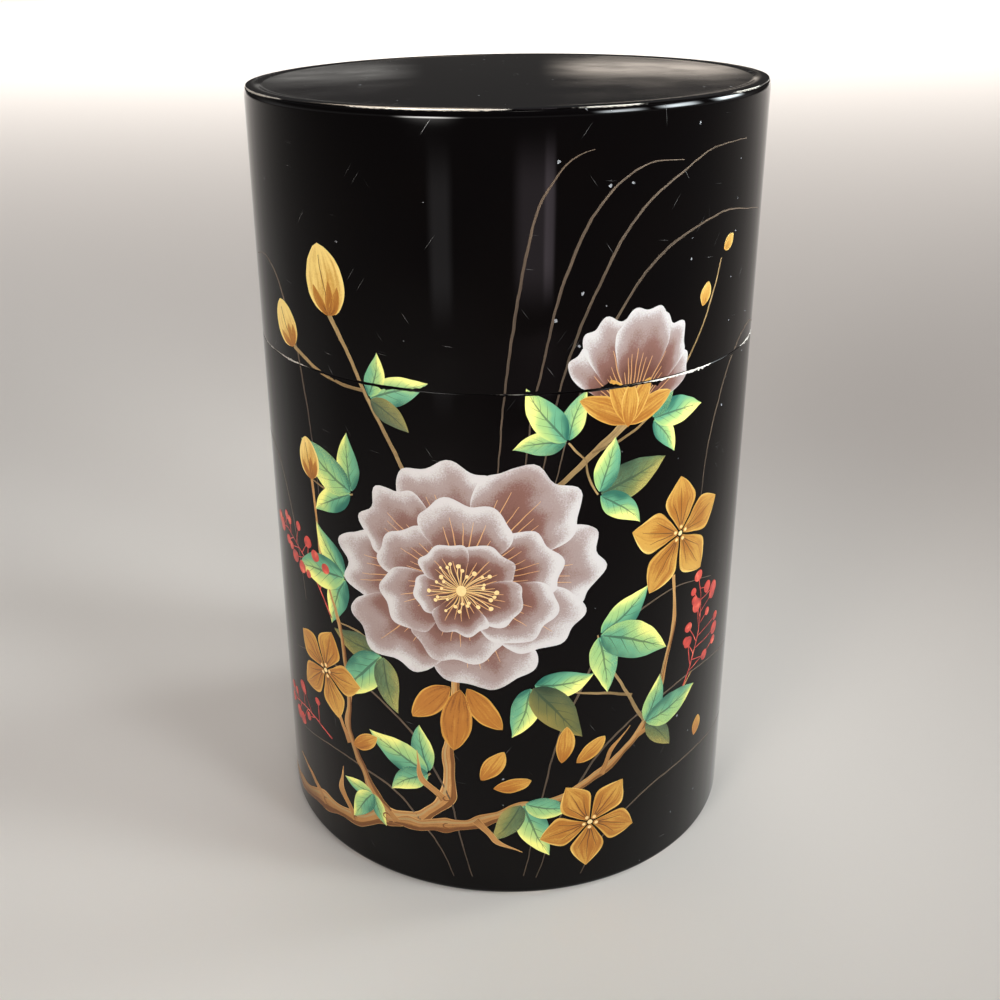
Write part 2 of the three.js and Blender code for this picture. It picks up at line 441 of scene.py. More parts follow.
hem_width = 2.6 * mm
foot_round = 1.2 * mm
seam_ease = 0.15 * mm
hem = outer_radius - hem_width
canister_wall = turned("canister_tube", [
    [wall_bore, seam_height],
    [wall_radius, seam_height, seam_ease],
    [wall_radius, 0, foot_round],
    [hem, 0],
    [hem, sheet],
    [wall_bore, sheet, foot_round - sheet],
], lacquer("canister_lacquer", [
    # The joint's lean of 0.15 makes its pale line run on at the right: a painted highlight on top of real
    # rubbing.
    (2, seam_height, 0.45 * mm, 0.0, 0.15), (2, 0.0, 0.35 * mm, 0.06, 0.0),
]))
seat(canister_wall, "canister_wall", "canister")

# Base plate
# A lacquered pan pressed from the same sheet. Its flange lies on the turned-in hem of the wall,
# and its floor is raised clear of the table, so that the hem takes the scuffs.
base_low, base_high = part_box("base_plate")
base_flange = base_high.x
base_floor = base_high.z
base_step = hem - 0.8 * mm
step_bend = 0.5 * mm
base_plate = turned("base_pan", [
    [0, base_floor - sheet],
    [base_step - sheet, base_floor - sheet, step_bend],
    [base_step - sheet, base_low.z, sheet],
    [base_flange, base_low.z],
    [base_flange, base_low.z + sheet],
    [base_step, base_low.z + sheet, sheet / 2],
    [base_step, base_floor, step_bend + sheet],
    [0, base_floor],
], lacquer(
    "base_lacquer", [(3, base_step - sheet, 0.2 * mm, 0.0, 0.0)],
    dust=(0.05, 0.05), scratched=4.0, upright=False,
))
seat(base_plate, "base_plate", "canister")


# Neck sleeve
# A second tube of bare tinplate, pressed into the canister and standing 28 mm above the joint.
# The lid slides on it, which leaves fine upright rub marks on the bright metal.
def tinplate(name, rubbed, grain):
    """Bright tin with its rolling grain.

    The grain's scale is along X, Y and Z, or on rubbed tin the way round, out and up."""
    material, tree, shader = surface(name, Metallic=1.0)
    place = place_of(tree)
    axes = split(place)
    grain_place = joined(way_round(axes), radius_of(axes), axes[2]) if rubbed else place
    stretched = put(tree, "ShaderNodeMapping", {"Vector": grain_place, "Scale": grain}).outputs[0]
    lines = mottle(stretched, 1.0, 4.0)
    clouds = mottle(place, 95, 3.0)
    tone = worked("MULTIPLY_ADD", lines, 0.35, times(clouds, 0.65))
    tin = ramp(tone, (0.3, (0.59, 0.575, 0.54)), (0.52, (0.66, 0.65, 0.62)), (0.7, (0.71, 0.70, 0.68)))
    dull = worked("MULTIPLY_ADD", lines, 0.16, eased(clouds, 0.3, 0.75, 0.14, 0.20))
    feed(shader, Base_Color=tin, Roughness=dull)
    relief(shader, lines, 0.004 * mm, 0.6)
    return material


sleeve_low, sleeve_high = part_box("neck_sleeve")
sleeve_radius = sleeve_high.x
sleeve_bore = sleeve_radius - sheet
neck_top = sleeve_high.z
mouth_ease = 0.06 * mm
sleeve_lip = base_step + 0.9 * mm
foot_bend = foot_round - sheet
neck_sleeve = turned("neck_tube", [
    [sleeve_bore, neck_top, mouth_ease],
    [sleeve_radius, neck_top, mouth_ease],
    [sleeve_radius, sleeve_low.z, foot_bend],
    [sleeve_lip, sleeve_low.z],
    [sleeve_lip, sleeve_low.z + sheet],
    [sleeve_bore, sleeve_low.z + sheet, foot_bend - sheet],
], tinplate("rubbed_tinplate", True, (2600, 1, 45)))
seat(neck_sleeve, "neck_sleeve", "canister")

# Inner lid
# A dish pressed from tinplate, whose flange lies on the neck and whose skirt keeps the tea dry.
# Its middle is raised to stiffen it where the knob is riveted on.
dish_low, dish_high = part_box("inner_lid_dish")
flange_top = dish_high.z
dish_radius = dish_high.x
dish_under = dish_low.z
dish_floor = dish_under + sheet
skirt = sleeve_bore - 0.15 * mm
dish_bend = 1.1 * mm
flange_bend = 0.5 * mm
boss_radius = 9 * mm
boss_slope = 0.8 * mm
boss_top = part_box("inner_lid_knob")[0].z
rivet_bore = 1.35 * mm
inner_lid = turned("inner_lid_pan", [
    [rivet_bore, boss_top],
    [boss_radius, boss_top, flange_bend],
    [boss_radius + boss_slope, dish_floor, flange_bend],
    [skirt - sheet, dish_floor, dish_bend - sheet],
    [skirt - sheet, flange_top, flange_bend],
    [dish_radius, flange_top, mouth_ease],
    [dish_radius, flange_top - sheet],
    [skirt, flange_top - sheet, flange_bend - sheet],
    [skirt, dish_under, dish_bend],
    [boss_radius + boss_slope - sheet / 2, dish_under, flange_bend],
    [boss_radius - sheet / 2, boss_top - sheet, flange_bend],
    [rivet_bore, boss_top - sheet],
], tinplate("pressed_tinplate", False, (45, 2200, 300)))
seat(inner_lid, "inner_lid_dish", "inner_lid")

# Knob, washer and rivet
# The knob is turned from brass rod, with the lathe's rings still on it, and bored from below.
# A brass rivet through a tinned washer under the dish holds it.
rings_a_metre = 5200
bright_brass = (0.74, 0.49, 0.17, 1)
brown_brass = (0.30, 0.16, 0.055, 1)


def brass(name):
    """Turned brass: fine rings round the axis, and brown tarnish where no finger rubs."""
    material, tree, shader = surface(name, Metallic=1.0)
    place = place_of(tree)
    axes = split(place)
    radius = radius_of(axes)
    across = times(worked("ADD", radius, axes[2]), rings_a_metre)
    rings = put(tree, "ShaderNodeTexNoise", {"W": across, "Scale": 1.0}, noise_dimensions="1D").outputs[0]
    clouds = mottle(place, 260, 4.0)
    hollow = eased(radius, 2.6 * mm, 5.2 * mm, 0.42, 0.0)
    tarnish = eased(worked("ADD", clouds, hollow), 0.45, 0.95)
    dull = worked("MULTIPLY_ADD", tarnish, 0.28, eased(rings, 0.3, 0.7, 0.14, 0.24))
    feed(shader, Base_Color=mixed(tarnish, bright_brass, brown_brass), Roughness=dull)
    relief(shader, rings, 0.006 * mm, 0.7)
    return material


def dome(radius, base, rise, steps=16):
    """Points of a quarter of an ellipse, from the axis to its rim."""
    angles = [math.pi / 2 * k / steps for k in range(steps + 1)]
    return [[radius * math.sin(a), base + rise * math.cos(a)] for a in angles]


turned_brass = brass("turned_brass")
knob_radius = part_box("inner_lid_knob")[1].x
knob_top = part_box("inner_lid_knob")[1].z
cap_crown = 2.2 * mm
cap_edge = 1.2 * mm
cap_round = 0.7 * mm
knob_foot = 4.2 * mm
knob_waist = 2.8 * mm
foot_ease = 0.3 * mm
waist_round = 1.4 * mm
rivet_low, rivet_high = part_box("knob_rivet")
bore_end = rivet_high.z + 0.4 * mm
knob = turned("knob_turned", [
    [0, bore_end],
    [rivet_bore, bore_end],
    [rivet_bore, boss_top],
    [knob_foot, boss_top, foot_ease],
    [knob_foot, boss_top + 1.2 * mm, foot_ease],
    [knob_waist, boss_top + 2.6 * mm, waist_round],
    [knob_waist, boss_top + 4.6 * mm, waist_round],
    [knob_radius, knob_top - cap_crown - cap_edge, cap_round],
    *reversed(dome(knob_radius, knob_top - cap_crown, cap_crown)),
], turned_brass, facets=144)
seat(knob, "inner_lid_knob", "inner_lid")

washer_low, washer_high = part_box("knob_washer")
washer = turned("washer_ring", [
    [rivet_bore, washer_low.z],
    [washer_high.x, washer_low.z, mouth_ease],
    [washer_high.x, washer_high.z, mouth_ease],
    [rivet_bore, washer_high.z],
], tinplate("washer_steel", False, (60, 2600, 300)), facets=96)
seat(washer, "knob_washer", "inner_lid")

rivet_radius = 1.2 * mm
rivet = turned("rivet_turned", [
    *dome(rivet_high.x, washer_low.z, rivet_low.z - washer_low.z),
    [rivet_radius, washer_low.z],
    [rivet_radius, rivet_high.z, foot_ease],
    [0, rivet_high.z],
], turned_brass, facets=96)
seat(rivet, "knob_rivet", "inner_lid")

# Lid wall
# A tube of the same lacquered tinplate. It slips over the neck and is flush with the canister.
# Its top is drawn in as a soft shoulder and turned in flat to carry the top plate.
shoulder_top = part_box("lid_wall")[1].z
shoulder_round = 2.5 * mm
shoulder_lean = 0.27 * mm
shoulder_drop = 0.6 * mm
shoulder_ease = 0.2 * mm
opening = outer_radius - 2.4 * mm
lid_wall = turned("lid_tube", [
    [wall_bore, seam_height],
    [wall_radius, seam_height, seam_ease],
    [wall_radius, shoulder_top - shoulder_drop, shoulder_round],
    [outer_radius - shoulder_lean, shoulder_top, shoulder_ease],
    [opening, shoulder_top],
    [opening, shoulder_top - sheet],
    [wall_bore - shoulder_lean, shoulder_top - sheet, sheet / 2],
    [wall_bore, shoulder_top - shoulder_drop - sheet, shoulder_round],
], lacquer("lid_lacquer", [
    # Their leans lengthen the pale tin to the right, so that these lines are partly a painted highlight.
    (2, seam_height, 0.22 * mm, 0.0, 0.05), (2, shoulder_top, 0.07 * mm, -0.02, 0.04),
], dust=(0.03, 0.13), scratched=2.0))
seat(lid_wall, "lid_wall", "lid")

# Top plate
# The lacquered plate that closes the lid. Its arched rim lies on the shoulder's flange, a hairline
# inside it, and its low-domed panel is pressed down into the opening.
rim_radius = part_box("lid_top_plate")[1].x
panel_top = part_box("lid_top_plate")[1].z
crown_rise = 0.3 * mm
rim_arch = 0.12 * mm
rim_ease = 0.1 * mm
spigot = opening - 0.1 * mm
rim_edge = panel_top - crown_rise


def crown(start, end, height, steps=24):
    """Points along a low crown between two radii."""
    shares = [k / steps for k in range(steps + 1)]
    return [[start + (end - start) * share, height(share)] for share in shares]


top_plate = turned("top_plate", [
    *crown(0, spigot - sheet, lambda t: rim_edge + crown_rise * (1 - t * t)),
    *crown(spigot, rim_radius, lambda t: rim_edge + rim_arch * (1 - (2 * t - 1) ** 2)),
    [rim_radius, shoulder_top, rim_ease],
    [spigot, shoulder_top],
    *crown(spigot, 0, lambda t: rim_edge + crown_rise * (1 - (1 - t) ** 2) - sheet),
], lacquer(
    "top_lacquer", [(3, rim_radius, 0.12 * mm, -0.02, 0.0)],
    dust=(0.08, 0.12), scratched=5.0, gloss=(0.06, 0.11), upright=False,
))
seat(top_plate, "lid_top_plate", "lid")

# Painted spray
# Opaque paint laid on the finished lacquer by brush and airbrush, layer over layer. It was done
# with the lid on, so that each shape goes on across the joint, and is now chipped along it.
paint_layers = 9
layer = paint_room / paint_layers
paint_root = 0.02 * mm  # how far a film is let into the wall
chip_reach = 1.3 * mm  # the strip on each side of the joint that is meshed finely for its chips
chip_cuts = 3
film_edge = math.radians(40)
noise.seed_set(8)  # or else Blender seeds its vector noise from the clock

# This tree wraps flat films on the wall. X is the way round, Y the height and Z the way out.
wrap, given, result = new_group(
    "wrap_on_wall", "Geometry", {"Geometry": "Geometry", "Wall Radius": "Float", "Paint": "Material"},
    {"Geometry": "Geometry"},
)
flat_place = split(put(wrap, "GeometryNodeInputPosition").outputs[0])
angle = worked("DIVIDE", flat_place[0], given["Wall Radius"])
from_axis = worked("ADD", given["Wall Radius"], flat_place[2])
back = times(from_axis, -1.0)
on_wall = joined(
    times(from_axis, worked("SINE", angle)), times(back, worked("COSINE", angle)), flat_place[1],
)
wrapped = put(wrap, "GeometryNodeSetPosition", {"Geometry": given["Geometry"], "Position": on_wall})
whole = put(wrap, "GeometryNodeRealizeInstances", {0: wrapped.outputs[0]})
painted = put(wrap, "GeometryNodeSetMaterial", {0: whole.outputs[0], "Material": given["Paint"]})
wrap.links.new(painted.outputs[0], result[0])


def grown(name, source, tree, values):
    """The mesh that a Geometry Nodes tree makes of an object's data."""
    carrier = shown(name, source)
    modifier = carrier.modifiers.new(name, "NODES")
    modifier.node_group = tree
    for item in tree.interface.items_tree:
        if item.in_out == "INPUT" and item.name in values:
            modifier[item.identifier] = values[item.name]
    evaluated = carrier.evaluated_get(bpy.context.evaluated_depsgraph_get())
    mesh = bpy.data.meshes.new_from_object(evaluated)
    carrier.modifiers.remove(modifier)
    bpy.data.objects.remove(carrier)
    return mesh


def new_paint(flat=None):
    """A sheet for brush shapes: X is the way round the wall, Y the height, and Z the film's top."""
    mesh = bmesh.new()
    if flat:
        mesh.from_mesh(flat)
    mesh.verts.layers.float_vector.new("spot")
    return mesh


def lay(mesh, rows, level, tag=0.0):
    """Adds a brush shape of rows of (s, height) points in mm, from its root to its tip.

    The spot of a point is its share across, its share along and the shape's tag."""
    spot = mesh.verts.layers.float_vector["spot"]
    grid = []
    for v, row in enumerate(rows):
        line = []
        for u, (s, z) in enumerate(row):
            vert = mesh.verts.new((s * mm, z * mm, (level + 1) * layer))
            vert[spot] = (u / (len(row) - 1), v / (len(rows) - 1), tag)
            line.append(vert)
        grid.append(line)
    for low, high in zip(grid, grid[1:]):
        for k in range(len(low) - 1):
            mesh.faces.new((low[k], low[k + 1], high[k + 1], high[k]))


def chip(s, side):
    """How far the paint is broken back from the joint, with deeper bites here and there."""
    along = Vector((s / mm, 7.3 * side, 0))  # so that the two halves don't break alike
    fine = 0.05 + 0.05 * noise.noise(along * 2.3)
    bite = max(0.0, noise.noise(along * 0.33) - 0.18) * (1.4 + noise.noise(along * 3.1))
    depth = 1.5 if side < 0 else 0.8
    return (fine + bite * depth) * mm


def hand(s, z):
    """How far a hand strays from the drawing here, in metres: a slow sway and a small tremor."""
    drawn = Vector((s, z, 0)) / mm
    return (noise.noise_vector(drawn * 0.13) * 0.45 + noise.noise_vector(drawn * 0.6) * 0.10).xy * mm


def finish_paint(name, sheet_of_paint, paint):
    """Parts the paint at the joint, thickens it, wraps it on the wall, and seats each half."""
    for vert in sheet_of_paint.verts:
        vert.co.xy += hand(vert.co.x, vert.co.y)
    for face in sheet_of_paint.faces:
        face.normal_update()
        if face.normal.z < 0:
            face.normal_flip()
    for body, side in (("canister", -1), ("lid", 1)):
        mesh = sheet_of_paint.copy()
        near = [e for e in mesh.edges if any(abs(v.co.y - seam_height) < chip_reach for v in e.verts)]
        bmesh.ops.subdivide_edges(mesh, edges=near, cuts=chip_cuts, use_grid_fill=True)
        bmesh.ops.triangulate(mesh, faces=mesh.faces)
        for vert in mesh.verts:
            vert.co.y -= side * chip(vert.co.x, side)
        bmesh.ops.bisect_plane(
            mesh, geom=[*mesh.verts, *mesh.edges, *mesh.faces], dist=1e-7,
            plane_co=(0, seam_height + side * seam_ease, 0), plane_no=(0, side, 0), clear_inner=True,
        )
        for vert in mesh.verts:
            vert.co.y += side * chip(vert.co.x, side)
        bmesh.ops.dissolve_degenerate(mesh, edges=mesh.edges[:], dist=0.001 * mm)
        if not mesh.faces:
            mesh.free()
            continue
        raised = bmesh.ops.extrude_face_region(mesh, geom=mesh.faces[:], use_keep_orig=True)["geom"]
        top = {item for item in raised if isinstance(item, bmesh.types.BMVert)}
        for vert in mesh.verts:
            if vert not in top:
                vert.co.z = -paint_root
        flat = bpy.data.meshes.new(name)
        mesh.to_mesh(flat)
        mesh.free()
        wrapped_mesh = grown(name, flat, wrap, {"Wall Radius": wall_radius, "Paint": paint})
        wrapped_mesh.shade_smooth()
        wrapped_mesh.set_sharp_from_angle(angle=film_edge)
        piece = shown(f"{name}_on_{body}", wrapped_mesh)
        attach(piece, body)
    sheet_of_paint.free()


# Blooms
# A full flower seen from a little above, and a half-open one whose cup crosses the joint. The
# petals are airbrushed from a pale rim to a plum root, then lined from the root in fine gold.
def polar(heading, length, root=(0, 0), tilt=1.0):
    """The point at this heading in degrees and this length from the root."""
    angle = math.radians(heading)
    return root[0] + length * math.cos(angle), root[1] + tilt * length * math.sin(angle)


def petal(root, heading, length, spread, seed, tilt=1.0, lobes=3):
    """A petal as a function of its share across, from -1 to 1, and its share along."""
    draw = random.Random(seed)
    phase = draw.uniform(0, 1)
    depth = draw.uniform(0.04, 0.10)
    lean = draw.uniform(-0.10, 0.10)

    def at(u, share):
        rim = 0.60 + 0.40 * math.sqrt(max(0.0, 1 - abs(u) ** 2.6)) + lean * u
        rim *= 1 - depth * (0.5 - 0.5 * math.cos(2 * math.pi * (lobes * u / 2 + phase)))
        return polar(heading + spread * u, length * share * rim, root, tilt)
    return at


def fan(at, rows=18, columns=44):
    """The rows of points of a petal."""
    across = [math.sin((j / columns - 0.5) * math.pi) for j in range(columns + 1)]
    return [[at(u, 0.05 + 0.95 * i / rows) for u in across] for i in range(rows + 1)]


def spot_of(tree):
    """A brush shape's share across and along, and its tag."""
    return split(put(tree, "ShaderNodeAttribute", attribute_name="spot").outputs["Vector"])


def swung(value, weight, base):
    """The base, with a texture's swing about its middle added by weight."""
    return worked("MULTIPLY_ADD", worked("SUBTRACT", value, 0.5), weight, base)


blossom, tree, shader = surface("blossom_paint", Specular_IOR_Level=0.4)
place = place_of(tree)
spray = mottle(place, 5200, 1.0)
tone = swung(mottle(place, 150), 0.45, spot_of(tree)[1])
plum = ramp(
    swung(spray, 0.16, tone),
    (0.12, (0.032, 0.006, 0.003)), (0.44, (0.085, 0.026, 0.016)), (0.66, (0.150, 0.068, 0.052)),
    (0.84, (0.26, 0.195, 0.180)), (1.0, (0.46, 0.435, 0.425)),
)
feed(shader, Base_Color=plum, Roughness=eased(spray, 0.3, 0.7, 0.34, 0.48))
relief(shader, spray, 0.003 * mm, 0.5)

draw = random.Random(5)
blooms = new_paint()
veins = []
vein_widths = (0.06, 0.10, 0.09, 0.07, 0.03)
vein_rise = 0.35  # from a petal's level to its veins'


def veined(at, level, count, reach):
    """Lays a petal, and its fan of fine lines."""
    lay(blooms, fan(at), level)
    for i in range(count):
        u = 1.7 * (i + 0.5) / count - 0.85 + draw.uniform(-0.03, 0.03)
        end = reach * (1 - 0.45 * u * u) * draw.uniform(0.8, 1.05)
        shares = [0.10 + (end - 0.10) * k / 4 for k in range(5)]
        line = [(*at(u, share), half) for share, half in zip(shares, vein_widths)]
        veins.append((line, level + vein_rise))


bloom_centre = (-6.0, 56.0)
bloom_tilt = 0.86
rings = (  # petals, length, half spread, drop of the root, level, first heading, veins, their reach
    (8, 19.5, 31, 0.0, 2, 8, 9, 0.82),
    (6, 13.5, 38, 1.0, 4, 25, 8, 0.80),
    (5, 8.0, 42, 2.0, 6, 50, 6, 0.8),
)
for count, length, spread, drop, level, first, lines, reach in rings:
    for k in range(count):
        heading = first + 360 * k / count
        size = length * (1.06 + 0.10 * math.sin(math.radians(heading + 40 * k)))
        root = (bloom_centre[0], bloom_centre[1] - drop)
        over = k % 2 + 0.4 * (k == 4)  # so that no petal shares its level with the next one
        shape = petal(root, heading, size, spread, seed=10 * count + k, tilt=bloom_tilt)
        veined(shape, level + over, lines, reach)
half_open = (17.0, 78.5)
cup = ((40, 12.5, 2), (122, 12.5, 2), (60, 15.0, 3), (103, 15.0, 3), (81, 15.5, 4))
for k, (heading, length, level) in enumerate(cup):
    veined(petal(half_open, heading, length, 23, seed=90 + k), level, 8, 0.72)
finish_paint("bloom_paint", blooms, blossom)


# Leaves
# Leaves of three pointed blades, brushed in teal from the root and turned to lemon along one
# side while wet, with the veins drawn in dark after. A few lie in shade.
def bent(root, heading, length, half_width, curl=0.0, rows=24, columns=8):
    """Rows across a bent midrib. The half width is a function of the share along it."""
    s, z = root
    grid = []
    for i in range(rows + 1):
        t = i / rows
        bearing = heading + curl * (t - 0.3)
        if i:
            s, z = polar(bearing, length / rows, (s, z))
        half = max(0.02, half_width(t))
        sides = [half * (2 * j / columns - 1) for j in range(columns + 1)]
        grid.append([polar(bearing - 90, side, (s, z)) for side in sides])
    return grid


def pointed(width, swell=0.7, taper=1.1):
    """The half width of a blade that swells from its root and tapers to a point."""
    peak_at = swell / (swell + taper)
    peak = peak_at ** swell * (1 - peak_at) ** taper
    return lambda t: width / 2 * t ** swell * (1 - t) ** taper / peak


def off_middle(across):
    """How far a point is from the middle of its stroke, as a share of the half width."""
    return worked("ABSOLUTE", worked("MULTIPLY_ADD", across, 2.0, -1.0))


foliage, tree, shader = surface("leaf_paint", Specular_IOR_Level=0.4)
across, along, tag = spot_of(tree)
lots = lots_of(put(tree, "ShaderNodeTexWhiteNoise", {"W": tag}, noise_dimensions="1D"))
lit_side = gap(worked("GREATER_THAN", lots[0], 0.5), across)
side = off_middle(across)
cloud = mottle(place_of(tree), 200)
turning = swung(cloud, 0.7, worked("MULTIPLY_ADD", lit_side, 0.55, times(along, 0.42)))
green = ramp(
    turning,
    (0.10, (0.012, 0.10, 0.070)), (0.34, (0.10, 0.29, 0.165)), (0.54, (0.26, 0.42, 0.15)),
    (0.80, (0.70, 0.68, 0.19)),
)
shade = mixed(turning, (0.008, 0.016, 0.006, 1), (0.13, 0.075, 0.012, 1))
shaded_blades = 0.27  # of all of them
green = mixed(times(worked("LESS_THAN", lots[1], shaded_blades), 0.85), green, shade)
rib_place = times(worked("MULTIPLY_ADD", side, -0.30, along), 6.0)
off_rib = gap(worked("FRACT", rib_place), 0.5)
rib = worked("LESS_THAN", off_rib, worked("MULTIPLY_ADD", side, -0.06, 0.055))
midrib = worked("LESS_THAN", side, worked("MULTIPLY_ADD", along, -0.06, 0.09))
ribs = times(worked("MAXIMUM", rib, midrib), 0.7)
green = mixed(ribs, green, (0.012, 0.035, 0.018, 1))
feed(shader, Base_Color=green, Roughness=eased(cloud, 0.3, 0.7, 0.34, 0.46))
relief(shader, worked("SUBTRACT", cloud, ribs), 0.01 * mm, 0.5)

leaves = new_paint()
leaf_list = [  # root, heading, length
    ((-23, 66), 152, 12), ((-25, 52), 188, 12.5), ((-19, 41), 228, 12.5), ((13, 68), 18, 11),
    ((13.5, 46), -22, 13.5), ((4, 38.5), -52, 12), ((-11.5, 22), 158, 11), ((2.5, 17.5), -68, 10.5),
    ((22.5, 28), 12, 11), ((8.5, 76), 128, 9.5), ((21.2, 77.7), 4, 9), ((-19, 81), 22, 9),
    ((-22, 15), 236, 8),
]
tag = 0
for root, heading, length in leaf_list:
    for turn_by, share, curl in ((52, 0.74, 26), (-52, 0.74, -26), (0, 1.0, draw.uniform(-22, 22))):
        start = polar(heading + turn_by, 0.04 * length, root)
        tag += 1
        blade = pointed(0.47 * length * share)
        level = 0.5 + 0.45 * (tag % 4)  # so that no blade shares its level with the next one
        lay(leaves, bent(start, heading + turn_by, length * share, blade, curl), level, tag)
finish_paint("leaf_paint", leaves, foliage)

# Gold flowers
# Bellflowers, buds and small leaves in gold paint, brushed thin so that the strokes show. The
# wall is left black between their petals, and their veins are drawn in brown with a fine brush.
strokes, given, result = new_group(
    "brush_stroke", "Geometry", {"Geometry": "Geometry", "Step": "Float"}, {"Geometry": "Geometry"},
)
even = put(strokes, "GeometryNodeResampleCurve", {
    0: given["Geometry"], "Length": given["Step"],
}, mode="LENGTH")
level_set = put(strokes, "GeometryNodeSetCurveNormal", {0: even.outputs[0]}, mode="Z_UP")
brush = put(strokes, "GeometryNodeCurvePrimitiveLine", {"Start": (-1, 0, 0), "End": (1, 0, 0)})
bristles = put(strokes, "GeometryNodeResampleCurve", {0: brush.outputs[0], "Count": 5}, mode="COUNT")
share = put(strokes, "GeometryNodeSplineParameter").outputs["Factor"]
marked = [
    put(strokes, "GeometryNodeStoreNamedAttribute", {0: curve.outputs[0], "Name": name, "Value": share})
    for curve, name in ((level_set, "along"), (bristles, "across"))
]
ribbon = put(strokes, "GeometryNodeCurveToMesh", {
    "Curve": marked[0].outputs[0], "Profile Curve": marked[1].outputs[0],
    "Scale": put(strokes, "GeometryNodeInputRadius").outputs[0],
})
whole = put(strokes, "GeometryNodeRealizeInstances", {0: ribbon.outputs[0]})
strokes.links.new(whole.outputs[0], result[0])


def brushed(lines, step=0.45, tag=0.5):
    """A sheet of strokes. A line is a list of (s, height, half width) points in mm and a level."""
    data = bpy.data.curves.new("strokes", "CURVE")
    data.dimensions = "3D"
    for line, level in lines:
        spline = data.splines.new("NURBS")
        spline.points.add(len(line) - 1)
        spline.order_u = min(4, len(line))
        spline.use_endpoint_u = True
        spline.resolution_u = 12
        for point, (s, z, half) in zip(spline.points, line):
            point.co = (s * mm, z * mm, (level + 1) * layer, 1)
            point.radius = half * mm
    mesh = new_paint(grown("strokes", data, strokes, {"Step": step * mm}))
    spot = mesh.verts.layers.float_vector["spot"]
    across, along = (mesh.verts.layers.float[name] for name in ("across", "along"))
    for vert in mesh.verts:
        vert[spot] = (vert[across], vert[along], tag)
    return mesh


def gold_paint(name, *stops):
    """Gold paint whose tone runs through these colours with the tag, its strokes and its tip."""
    material, tree, shader = surface(name, Specular_IOR_Level=0.5, Metallic=0.3)
    place = place_of(tree)
    across, along, tag = spot_of(tree)
    stroke_place = joined(times(across, 12.0), times(along, 1.6), times(split(place)[2], 90.0))
    bristles = worked("SUBTRACT", mottle(stroke_place, 1.0, 3.0), 0.5)
    flakes = worked("SUBTRACT", mottle(place, 4200, 2.0), 0.5)
    tone = worked("MULTIPLY_ADD", along, 0.26, worked("SUBTRACT", tag, 0.13))
    tone = worked("MULTIPLY_ADD", bristles, 0.75, tone)
    tone = swung(mottle(place, 170), 0.5, tone)
    tone = worked("MULTIPLY_ADD", flakes, 0.22, tone)
    rim = times(eased(off_middle(across), 0.78, 0.96), 0.28)
    colour = ramp(worked("ADD", tone, rim), *stops)
    feed(shader, Base_Color=colour, Roughness=eased(bristles, -0.2, 0.2, 0.30, 0.44))
    grain = worked("ADD", bristles, times(flakes, 0.4))
    relief(shader, grain, 0.012 * mm, 0.6)
    return material


gold = gold_paint(
    "gold_paint",
    (0.0, (0.15, 0.045, 0.004)), (0.30, (0.37, 0.135, 0.016)), (0.62, (0.56, 0.30, 0.055)),
    (1.0, (0.84, 0.62, 0.20)),
)
brown_line = gold_paint("brown_line", (0.2, (0.10, 0.030, 0.006)), (0.8, (0.20, 0.075, 0.012)))
golds = new_paint()
petal_lines = []
line_level = 3


def bell_petal(size):
    """The half width of one fifth of a bellflower: a wedge that rounds in to a point."""
    def half(t):
        wedge = 0.70 * t + 0.03
        rounded_in = 0.42 * (1 - max(0.0, (t - 0.40) / 0.60) ** 1.8) + 0.001
        return size * (wedge ** -7 + rounded_in ** -7) ** (-1 / 7)
    return half


bellflowers = (((27.5, 58.5), 8.8, 20), ((13.5, 12.8), 7.8, 50), ((-31.5, 33.5), 7.6, 2))
for centre, size, first in bellflowers:
    for k in range(5):
        heading = first + 72 * k
        root = polar(heading, 0.07 * size, centre)
        bell = bent(root, heading, size, bell_petal(size * 0.97), rows=26, columns=14)
        lay(golds, bell, level=2, tag=0.42)
        for turn_by, reach in ((0, 0.86), (-17, 0.66), (17, 0.66)):
            ends = [
                polar(heading + turn_by * (0.5 + 0.5 * t), size * (0.18 + (reach - 0.18) * t), centre)
                for t in (0, 0.5, 1)
            ]
            line = [(*end, half) for end, half in zip(ends, (0.10, 0.08, 0.03))]
            petal_lines.append((line, line_level))
buds = (  # root, heading, length, width
    ((-25.5, 91.5), 98, 9.5, 7.4), ((-34.5, 85.5), 116, 7.0, 5.2), ((-31.5, 66), 102, 6.5, 4.8),
)
for root, heading, length, width in buds:
    lay(golds, bent(root, heading, length, pointed(width, 0.55, 0.62)), level=2, tag=0.82)
    for turn_by in (-38, 38, -12):
        half = pointed(0.17 * length, 0.8, 0.9)
        sepal = bent(root, heading + turn_by, 0.52 * length, half, -0.9 * turn_by, rows=12, columns=4)
        lay(golds, sepal, level=3, tag=0.30)
    ends = [
        polar(heading + turn_by, share * length, root)
        for turn_by, share in ((0, 0.3), (5, 0.55), (2, 0.85))
    ]
    petal_lines.append(([(*end, 0.06) for end in ends], line_level))
calyx = (  # of the half-open bloom: root, heading, length, width, level
    ((16.4, 78.0), 24, 8.5, 3.4, 5.0), ((17.6, 78.0), 152, 8.5, 3.4, 5.2),
    ((16.8, 77.8), 62, 7.2, 3.0, 5.4), ((17.2, 77.8), 114, 7.2, 3.0, 5.6),
    ((17.0, 77.5), 88, 6.2, 2.8, 5.8),
)
for root, heading, length, width, level in calyx:
    half = pointed(width, 0.8, 0.8)
    sepal = bent(root, heading, length, half, 0.2 * (heading - 87), rows=18)
    lay(golds, sepal, level, 0.1 * level - 0.15)
